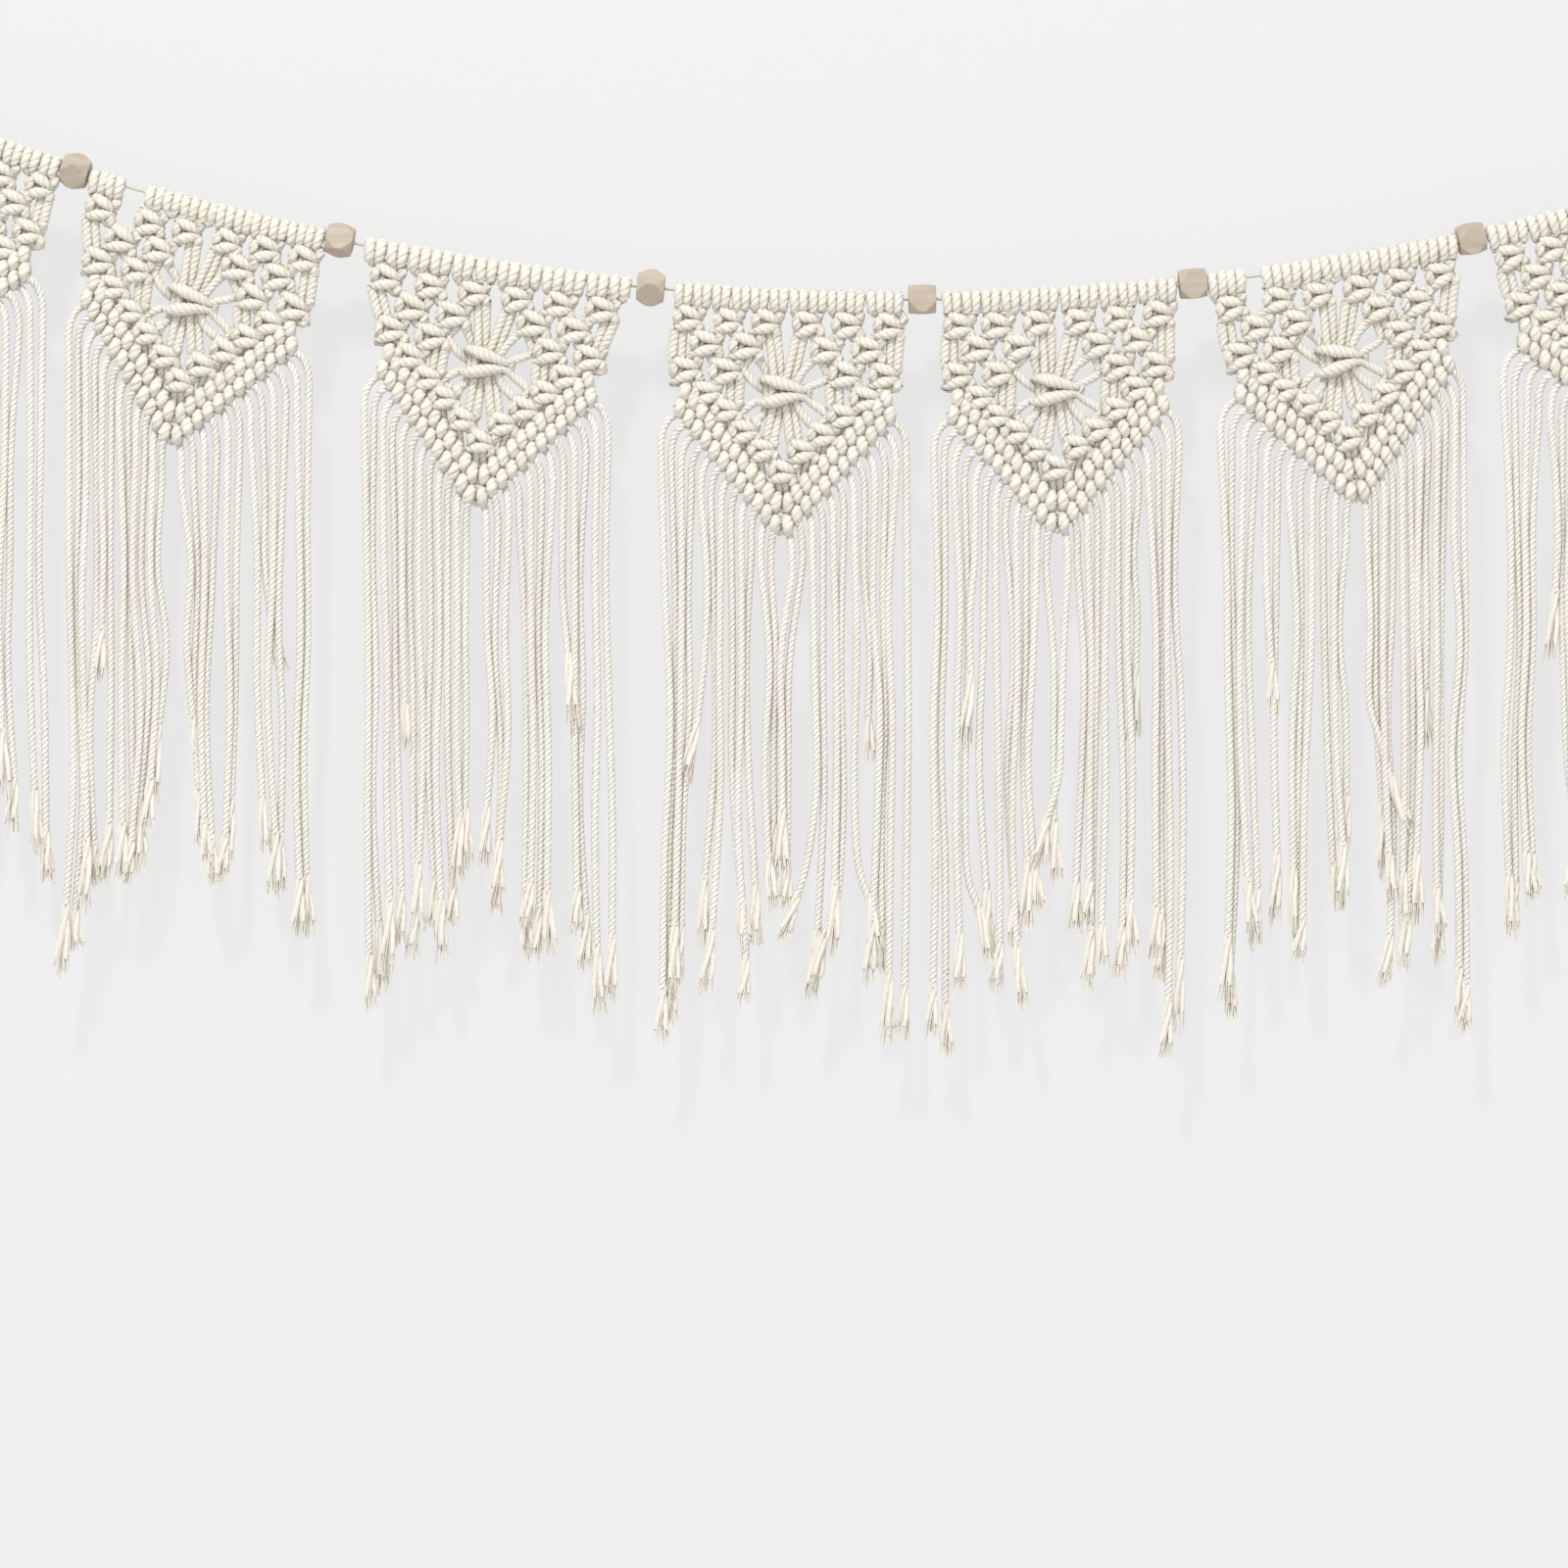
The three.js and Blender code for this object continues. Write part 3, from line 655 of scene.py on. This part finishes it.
def gatherPath(pennant, cord):
    at = pennant.flat(0, gatherKnot["drop"])
    firstFiller, lastFiller = gatherKnot["firstFiller"], gatherKnot["lastFiller"]
    if cord < firstFiller:
        run = gatherKnot["leftTyer"]
    elif cord > lastFiller:
        run = gatherKnot["rightTyer"]
    else:
        rank = cord - (firstFiller + lastFiller) / 2
        depth = gatherKnot["fillerDepth"] * (1 if cord % 2 == 0 else -1)
        narrow = rank * gatherKnot["fillerPitch"] + gatherKnot["fillerShift"]
        wide = rank * gatherKnot["entryPitch"] + gatherKnot["entryShift"]
        entryDepth = depth * gatherKnot["entryDepthShare"]
        half, outer, radius = (gatherKnot[key] for key in ("fillerHalf", "entryHalf", "fillerRadius"))
        run = [(wide, -outer, entryDepth, radius), (narrow, -half, depth, radius),
               (narrow, half, depth, radius), (wide, outer, entryDepth, radius)]
    return [(pennant.place(at, x, y, forward), radius) for x, y, forward, radius in run]


def borderRow(pennant, lowered):  # left end, tip and right end of a row, moved outwards square to it
    left, tip, right = (pennant.flat(*place) for place in (
        (-body["borderAcross"], body["borderDrop"]), (0, body["tipDrop"]),
        (body["borderAcross"], body["borderDrop"])))
    leftRun = (tip - left).normalized()
    rightRun = (right - tip).normalized()
    leftOut = Vector((leftRun.y, -leftRun.x)) * lowered
    rightOut = Vector((rightRun.y, -rightRun.x)) * lowered
    middle = (leftOut + rightOut).normalized() if lowered else Vector((0, 0))
    reach = lowered ** 2 / middle.dot(leftOut) if lowered else 0
    return left + leftOut, tip + middle * reach, right + rightOut


def hitchPlace(row, cord, spacing):
    left, tip, right = row
    half = body["cords"] // 2
    rank = cord if cord < half else body["cords"] - 1 - cord
    end = left if cord < half else right
    return end.lerp(tip, (rank + spacing["before"]) / (half - 1 + spacing["before"] + spacing["after"]))


def hitchPath(pennant, at, row, cord):
    shake = random.Random(f"{pennant.index} {cord} {row[1].y:.1f}")
    side = 1 if cord < body["cords"] // 2 else -1
    fat = 1 + shake.uniform(-loose["hitchSize"], loose["hitchSize"])
    tilt = math.radians(halfHitch["tilt"] + shake.uniform(-loose["hitchTurn"], loose["hitchTurn"])) * side
    path = []
    for right, down, forward, radius in halfHitch["run"]:
        x = right * side * math.cos(tilt) - down * math.sin(tilt)
        y = right * side * math.sin(tilt) + down * math.cos(tilt)
        path.append((pennant.place(at, x, y, forward), radius * fat))
    return path


def holderPath(pennant, row):
    left, tip, right = row
    down = [left.lerp(tip, share) for share in holder["stations"]]
    up = [right.lerp(tip, share) for share in reversed(holder["stations"])]
    return [(pennant.hung(at.x, at.y, holder["forward"]), holder["radius"]) for at in down + [tip] + up]


def knotworkPaths(pennant):
    upper = borderRow(pennant, 0)
    runs = []
    for cord in range(body["cords"]):
        path = headPath(pennant, cord // 2, -1 if cord % 2 == 0 else 1)
        ties = knotsOf(cord)
        gathered = gatherKnot["firstFiller"] - 1 <= cord <= gatherKnot["lastFiller"] + 1
        for row, first, place in ties:
            if gathered and row["drop"] > gatherKnot["drop"]:
                path += gatherPath(pennant, cord)
                gathered = False
            path += squareKnotPath(pennant, row, first, place)
        path += hitchPath(pennant, hitchPlace(upper, cord, hitchSpacing["upper"]), upper, cord)
        runs.append(path)
    joined = []
    for pair in range(body["cords"] // 2):
        left, right = runs[2 * pair], runs[2 * pair + 1]
        joined.append(left[:0:-1] + right)
    return joined + [holderPath(pennant, upper)]


cottonCord = {"step": 2.0, "lay": 10.5, "plies": 3, "points": 9, "hollow": 0.07}

fringe = {
    "endDrops": [436, 432, 404, 390, 268, 388, 396, 388, 406, 374, 364, 336],
    "endScatter": 14.0, "swing": 1.2, "depth": 1.5,
    "leftOut": 8.0, "rightOut": 6.0, "innerOut": 2.0,
    "arch": [(0.30, -4.4, -1.6), (0.62, -7.2, -0.6), (0.90, -13.0, 0.3), (1.0, -20.0, 0.8)], "archDrop": 30.0,
    "waveLength": 140.0, "wave": 3.2, "waveAtRoot": 0.3, "waveForward": 0.6, "ownWave": 1.2,
    "cordRadius": 2.35, "step": 2.0, "lay": 9.5, "plies": 3, "points": 9, "hollow": 0.08,
}
bunches = {"sizes": [1, 2, 2, 3, 3, 4, 4], "pitch": 4.3, "from": 0.12}  # met at this share of the drop
curls = {"share": 0.06, "reach": 8.0, "bendReach": 0.2, "bendAbove": 22.5}  # ends that turn aside

fray = {  # each ply of a cord's end opens on its own, and fibres stand out of it
    "length": 25.0, "lengthScatter": 7.0, "room": 1.3, "plies": 3, "steps": 6, "unlay": 150.0,
    "flat": 0.7, "lean": 3.0, "wander": 0.5, "overlap": 1.5, "opening": 1.5,
    "startAcross": 1.2, "endAcross": 3.2, "startRadius": 1.5, "endRadius": 1.6, "lastRadius": 0.8,
    "ply": {"step": 4.0, "lay": 60.0, "plies": 1, "points": 7, "hollow": 0.0},
}
fibre = {  # laid round the ply in turns of the golden angle
    "count": 8, "from": 0.2, "across": 1.6, "startSpread": 0.9, "endSpread": 1.5, "over": 0.45,
    "turn": 2.399963, "turnScatter": 0.4, "wander": 0.3, "stations": [0.0, 0.5, 1.0],
    "rootRadius": 0.60, "tipRadius": 0.32,
    "step": 30.0, "lay": 1000.0, "plies": 1, "points": 5, "hollow": 0.0,
}


def scatter(pennantIndex, cord, channel):  # the same scatter as in the part's fringe
    wave = math.sin(pennantIndex * 12.9898 + cord * 78.233 + channel * 37.719) * 43758.5453
    return 2 * (wave - math.floor(wave)) - 1


def fringeEnd(pennant, row, cord):  # where a fringe cord hangs: root, plumb x, end x and end z
    half = body["cords"] // 2
    rank = cord if cord < half else body["cords"] - 1 - cord
    root = hitchPlace(row, cord, hitchSpacing["lower"])
    widest = -fringe["leftOut"] if cord < half else fringe["rightOut"]
    inner = -fringe["innerOut"] if cord < half else fringe["innerOut"]
    hangX = hitchPlace(row, cord, hitchSpacing["upper"]).x + mix(widest, inner, (rank + 0.5) / half)
    endX = hangX + fringe["swing"] * scatter(pennant.index, rank, 1)
    endZ = -fringe["endDrops"][rank] + fringe["endScatter"] * scatter(pennant.index, cord, 2)
    return root, hangX, endX, endZ


def bunchesOf(pennant):  # neighbours that hang against each other: for each cord its bunch
    shake = random.Random(f"bunches {pennant.index}")
    found, first = [], 0
    while first < body["cords"]:
        count = min(shake.choice(bunches["sizes"]), body["cords"] - first)
        found += [(first, count)] * count
        first += count
    return found


def fringePath(pennant, row, cord, shake, frayLength):
    root, hangX, endX, endZ = fringeEnd(pennant, row, cord)
    first, count = bunchesOf(pennant)[cord]
    members = [fringeEnd(pennant, row, member) for member in range(first, first + count)]
    bunchX = sum(member[1] for member in members) / count
    bunchX += (cord - first - (count - 1) / 2) * bunches["pitch"]
    depth = fringe["depth"] * (1 if cord % 2 == 0 else -1)
    outwards = hangX - root.x
    radius = fringe["cordRadius"]
    path = hitchPath(pennant, root, row, cord)[-2:]
    for share, lower, forward in fringe["arch"]:
        path.append((pennant.hung(root.x + outwards * share, root.y + lower, forward * depth), radius))
    startZ = root.y - fringe["archDrop"]
    stopZ = endZ + frayLength * fray["room"]
    curl = shake.choice((-1, 1)) * curls["reach"] if shake.random() < curls["share"] else 0.0
    steps = max(3, round((startZ - stopZ) / (fringe["waveLength"] / 2)))
    shared = random.Random(f"bunch {pennant.index} {first}")
    for i in range(steps + 1):
        share = i / steps
        ease = min(i, 1)  # no wave yet where the arch ends
        ownX, ownY = (shake.uniform(-1, 1) * fringe["ownWave"] * ease for axis in range(2))
        waveX = shared.uniform(-1, 1) * fringe["wave"] * mix(fringe["waveAtRoot"], 1, share) * ease + ownX
        waveY = shared.uniform(-1, 1) * fringe["wave"] * fringe["waveForward"] * ease + ownY
        gathered = min(share / bunches["from"], 1)
        x = mix(hangX, bunchX, gathered) + (endX - hangX) * share + waveX
        path.append((pennant.hung(x, mix(startZ, stopZ, share), depth + waveY), radius))
    if curl:
        place, radius = path.pop()
        path.append((place + Vector((curl * curls["bendReach"], 0, curls["bendAbove"])) * mm, radius))
        path.append((place + Vector((curl, 0, 0)) * mm, radius))
    return path


def plyLine(angle, lean, shake, frayLength):  # across, forward and down from the cord's end
    wander, line = fray["wander"], []
    for i in range(fray["steps"] + 1):
        share = i / fray["steps"]
        turned = angle - math.radians(fray["unlay"]) * (1 - share) ** 2
        across = mix(fray["startAcross"], fray["endAcross"], share ** fray["opening"])
        x = across * math.cos(turned) + lean * share ** 2 + shake.uniform(-wander, wander) * share
        y = across * math.sin(turned) * fray["flat"]
        line.append((x, y, frayLength * share - fray["overlap"] * (1 - share)))
    return line


def plyRadius(share):
    return mix(fray["startRadius"], fray["endRadius"], share) * (fray["lastRadius"] if share == 1 else 1)


def fibreLine(line, rank, shake):  # out of a ply's line, each with its radius
    startX, startY, startDown = line[round(fray["steps"] * fibre["from"])]
    endX, endY, endDown = line[-1]
    way = rank * fibre["turn"] + shake.uniform(-fibre["turnScatter"], fibre["turnScatter"])
    reach = fibre["across"] * math.sqrt((rank + 0.5) / fibre["count"])
    over = 1 + fibre["over"] * shake.random()
    points = []
    for share in fibre["stations"]:
        spread = reach * mix(fibre["startSpread"], fibre["endSpread"], share)
        wander = shake.uniform(-fibre["wander"], fibre["wander"]) * share
        x = mix(startX, endX, share) + spread * math.cos(way) + wander
        y = mix(startY, endY, share) + spread * math.sin(way) * fray["flat"]
        down = mix(startDown, endDown * over, share)
        points.append((x, y, down, mix(fibre["rootRadius"], fibre["tipRadius"], share)))
    return points


def frayPaths(end, before, shake, frayLength):  # plies and fibres below a cord's end
    run = (end - before).normalized()
    side = run.cross(Vector((0, 1, 0))).normalized()
    front = run.cross(side)
    lean = shake.uniform(-1, 1) * fray["lean"]
    first = shake.uniform(0, 2 * math.pi)

    def placed(points):
        return [(end + (side * x + front * y + run * down) * mm, radius) for x, y, down, radius in points]

    plies, fibres = [], []
    for ply in range(fray["plies"]):
        line = plyLine(first + ply * 2 * math.pi / fray["plies"], lean, shake, frayLength)
        plies.append(placed([(*point, plyRadius(i / fray["steps"])) for i, point in enumerate(line)]))
        fibres += [placed(fibreLine(line, rank, shake)) for rank in range(fibre["count"])]
    return plies, fibres


def fringePaths(pennant):
    lower = borderRow(pennant, body["borderPitch"])
    hitches, cords, plies, fibres = [holderPath(pennant, lower)], [], [], []
    for cord in range(body["cords"]):
        root = hitchPlace(lower, cord, hitchSpacing["lower"])
        hitches.append(hitchPath(pennant, root, lower, cord))
        shake = random.Random(f"fringe {pennant.index} {cord}")
        frayLength = fray["length"] + shake.uniform(-1, 1) * fray["lengthScatter"]
        path = fringePath(pennant, lower, cord, shake, frayLength)
        cords.append(path)
        openPlies, openFibres = frayPaths(path[-1][0], path[-2][0], shake, frayLength)
        plies += openPlies
        fibres += openFibres
    return hitches, cords, plies, fibres


def joinPieces(target, other):
    bpy.ops.object.select_all(action="DESELECT")
    other.select_set(True)
    target.select_set(True)
    bpy.context.view_layer.objects.active = target
    bpy.ops.object.join()


def addPennant(index):
    pennant = Pennant(index)
    knotwork = cordPiece(f"knotwork_{index}", knotworkPaths(pennant), cottonCord, cotton["knotted"])
    hitches, cords, plies, fibres = fringePaths(pennant)
    hanging = cordPiece(f"fringeCords_{index}", cords, fringe, cotton["hanging"])
    joinPieces(hanging, cordPiece(f"lowerBorder_{index}", hitches, cottonCord, cotton["knotted"]))
    joinPieces(hanging, cordPiece(f"frayedPlies_{index}", plies, fray["ply"], cotton["frayed"]))
    joinPieces(hanging, cordPiece(f"frayedFibres_{index}", fibres, fibre, cotton["frayed"]))
    for piece, node in ((knotwork, f"pennant_{index}"), (hanging, f"fringe_{index}")):
        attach(piece, "root")
        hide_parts(node)
    return len(knotwork.data.polygons), len(hanging.data.polygons)


for pennantIndex in range(len(pennants)):
    print("pennant", pennantIndex, "faces", addPennant(pennantIndex))


# Header string with its tied loops

def loopEnd(side):  # from the free tail through the wraps and the bend to the start of the run
    reach = headerString["leftReach"] if side < 0 else headerString["rightReach"]
    angle = stringAngle(side * reach)
    pull = Vector((side * math.cos(angle), side * math.sin(angle)))
    across = Vector((-pull.y, pull.x))
    knot = Vector((side * reach, rise(reach)))
    radius = headerString["radius"]

    def place(forwards, sideways, front=0.0):
        at = knot + pull * forwards + across * sideways
        return spot(at.x, at.y, front), radius

    tail = math.radians(180 - headerString["tailAngle"])
    length, half = headerString["tailLength"], headerString["tailLength"] / 2
    path = [place(length * math.cos(tail), length * math.sin(tail)),
            place(half * math.cos(tail) - headerString["tailBend"], half * math.sin(tail))]
    turns, steps = headerString["wrapTurns"], headerString["wrapSteps"]
    for i in range(turns * steps + 1):
        angleRound = i / steps * 2 * math.pi
        forwards = (i / steps - turns / 2) * headerString["wrapPitch"]
        wrap = headerString["wrapRadius"]
        path.append(place(forwards, wrap * math.cos(angleRound), wrap * math.sin(angleRound)))
    for i in range(1, headerString["loopSteps"] + 1):
        turn = i / headerString["loopSteps"] * 2 * math.pi
        forwards = headerString["loopLength"] * (1 - math.cos(turn)) / 2
        out = headerString["loopWidth"] / headerString["loopFullness"]
        path.append(place(forwards, out * math.sin(turn) * math.sin(turn / 2)))
    return path


def addString():
    radius = headerString["radius"]
    left, right = -headerString["leftReach"], headerString["rightReach"]
    steps = round((right - left) / headerString["runStep"])
    run = []
    for i in range(1, steps):
        along = mix(left, right, i / steps)
        run.append((spot(along, rise(along), 0), radius))
    whole = loopEnd(-1) + run + loopEnd(1)[::-1]
    piece = cordPiece("headerCord", [whole], headerString, cordFinish)
    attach(piece, "root")
    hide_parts("header_string")


addString()
print("string threaded")


# Wooden beads

beadSizes = {
    "size": 16.0, "cornerCut": 6.0, "bore": 3.0, "boreSides": 24, "drillLength": 32.0,
    "edge": 0.5, "edgeSegments": 3, "flatAngle": 0.02,
}
beads = [
    {"along": -481.7, "turn": 32.0}, {"along": -327.6, "turn": -14.0}, {"along": -146.3, "turn": 38.0},
    {"along": 12.0, "turn": 0.0}, {"along": 169.7, "turn": 12.0}, {"along": 332.0, "turn": 16.0},
]


def meshObject(name, form):
    mesh = bpy.data.meshes.new(name)
    form.to_mesh(mesh)
    form.free()
    made = bpy.data.objects.new(name, mesh)
    scene.collection.objects.link(made)
    return made


def cutCube(name):  # a cube with its eight corners cut off
    half = beadSizes["size"] / 2 * mm
    cut = half - beadSizes["cornerCut"] * mm
    form = bmesh.new()
    for short in range(3):
        for signs in range(8):
            corner = [half if signs & (1 << axis) else -half for axis in range(3)]
            corner[short] = cut if corner[short] > 0 else -cut
            form.verts.new(corner)
    hull = bmesh.ops.convex_hull(form, input=form.verts)
    bmesh.ops.delete(form, geom=hull["geom_interior"], context="VERTS")
    bmesh.ops.dissolve_limit(form, angle_limit=beadSizes["flatAngle"], verts=form.verts, edges=form.edges)
    bmesh.ops.recalc_face_normals(form, faces=form.faces)
    return meshObject(name, form)


def boreDrill():
    radius, length = beadSizes["bore"] / 2 * mm, beadSizes["drillLength"] * mm
    form = bmesh.new()
    bmesh.ops.create_cone(form, cap_ends=True, segments=beadSizes["boreSides"], radius1=radius,
                          radius2=radius, depth=length, matrix=Matrix.Rotation(math.pi / 2, 4, "Y"))
    return meshObject("drill", form)


def addBead(index):
    piece, driller = cutCube(f"woodenBead_{index + 1}"), boreDrill()
    bore = piece.modifiers.new("bore", "BOOLEAN")
    bore.object = driller
    edge = piece.modifiers.new("edge", "BEVEL")
    edge.width, edge.segments, edge.limit_method = beadSizes["edge"] * mm, beadSizes["edgeSegments"], "ANGLE"
    view = bpy.context.evaluated_depsgraph_get()
    finished = bpy.data.meshes.new_from_object(piece.evaluated_get(view), depsgraph=view)
    piece.modifiers.clear()
    bpy.data.objects.remove(driller)
    along, turn = beads[index]["along"], math.radians(beads[index]["turn"])
    finished.transform(Matrix.Translation(spot(along, rise(along), 0))
                       @ Matrix.Rotation(-stringAngle(along), 4, "Y") @ Matrix.Rotation(turn, 4, "X"))
    finished.materials.clear()
    finished.materials.append(wood)
    for face in finished.polygons:
        face.use_smooth = False
    piece.data = finished
    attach(piece, "root")
    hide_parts(f"bead_{index + 1}")


for beadIndex in range(len(beads)):
    addBead(beadIndex)
print("beads threaded")


# Stage: a pale wall close behind and a floor, each seen from one side only

stageSizes = {
    "wallBack": 0.045, "wallWidth": 8.0, "wallHeight": 5.0, "floorZ": -1.15, "floorDepth": 6.0,
    "paint": 0.12, "glow": 0.705, "roughness": 0.9, "specular": 0.1,
}
light = {
    "key": {"place": (-0.72, -2.8, 2.93), "size": 0.4, "power": 102.0},
    "fill": {"place": (0.5, -3.6, 0.0), "size": 2.8, "power": 28.0},
    "sky": 0.89,
}


def stageMaterial():  # softly lit from behind, so that shadows on it stay faint
    shader = Shader("palePaint")
    paint, glow = stageSizes["paint"], stageSizes["glow"]
    shader.surface.inputs["Emission Color"].default_value = (1, 1, 1, 1)
    shader.finish((paint, paint, paint, 1), stageSizes["roughness"],
                  Specular_IOR_Level=stageSizes["specular"], Emission_Strength=glow)
    rear = shader.value("ShaderNodeNewGeometry", {}, output="Backfacing")
    clear = shader.value("ShaderNodeBsdfTransparent", {})
    mixed = shader.node("ShaderNodeMixShader", {}, {"Fac": rear, 2: clear})
    shader.tree.links.new(shader.surface.outputs[0], mixed.inputs[1])
    shader.tree.links.new(mixed.outputs[0], shader.tree.nodes["Material Output"].inputs["Surface"])
    return shader.material


def addPlane(name, corners, material):
    mesh = bpy.data.meshes.new(name)
    mesh.from_pydata(corners, [], [(0, 1, 2, 3)])
    mesh.materials.append(material)
    plane = bpy.data.objects.new(name, mesh)
    scene.collection.objects.link(plane)


def addStage():
    paint = stageMaterial()
    left, right = -stageSizes["wallWidth"] / 2, stageSizes["wallWidth"] / 2
    back, front = stageSizes["wallBack"], -stageSizes["floorDepth"]
    low, high = stageSizes["floorZ"], stageSizes["floorZ"] + stageSizes["wallHeight"]
    wall = [(left, back, low), (right, back, low), (right, back, high), (left, back, high)]
    floor = [(left, front, low), (right, front, low), (right, back, low), (left, back, low)]
    addPlane("backdrop", wall, paint)
    addPlane("floor", floor, paint)


def addLight(name):
    sizes = light[name]
    lamp = bpy.data.lights.new(name, "AREA")
    lamp.size, lamp.energy = sizes["size"], sizes["power"]
    made = bpy.data.objects.new(name, lamp)
    scene.collection.objects.link(made)
    centre = (cadBox[0] + cadBox[1]) / 2
    made.location = centre + Vector(sizes["place"])
    made.rotation_euler = (centre - made.location).to_track_quat("-Z", "Y").to_euler()


def addSky():
    scene.world = bpy.data.worlds.new("studio")
    scene.world.use_nodes = True
    sky = scene.world.node_tree.nodes["Background"]
    sky.inputs["Color"].default_value = (1, 1, 1, 1)
    sky.inputs["Strength"].default_value = light["sky"]


addStage()
for lampName in ("key", "fill"):
    addLight(lampName)
addSky()
scene.view_settings.view_transform = "Standard"
print("stage lit")
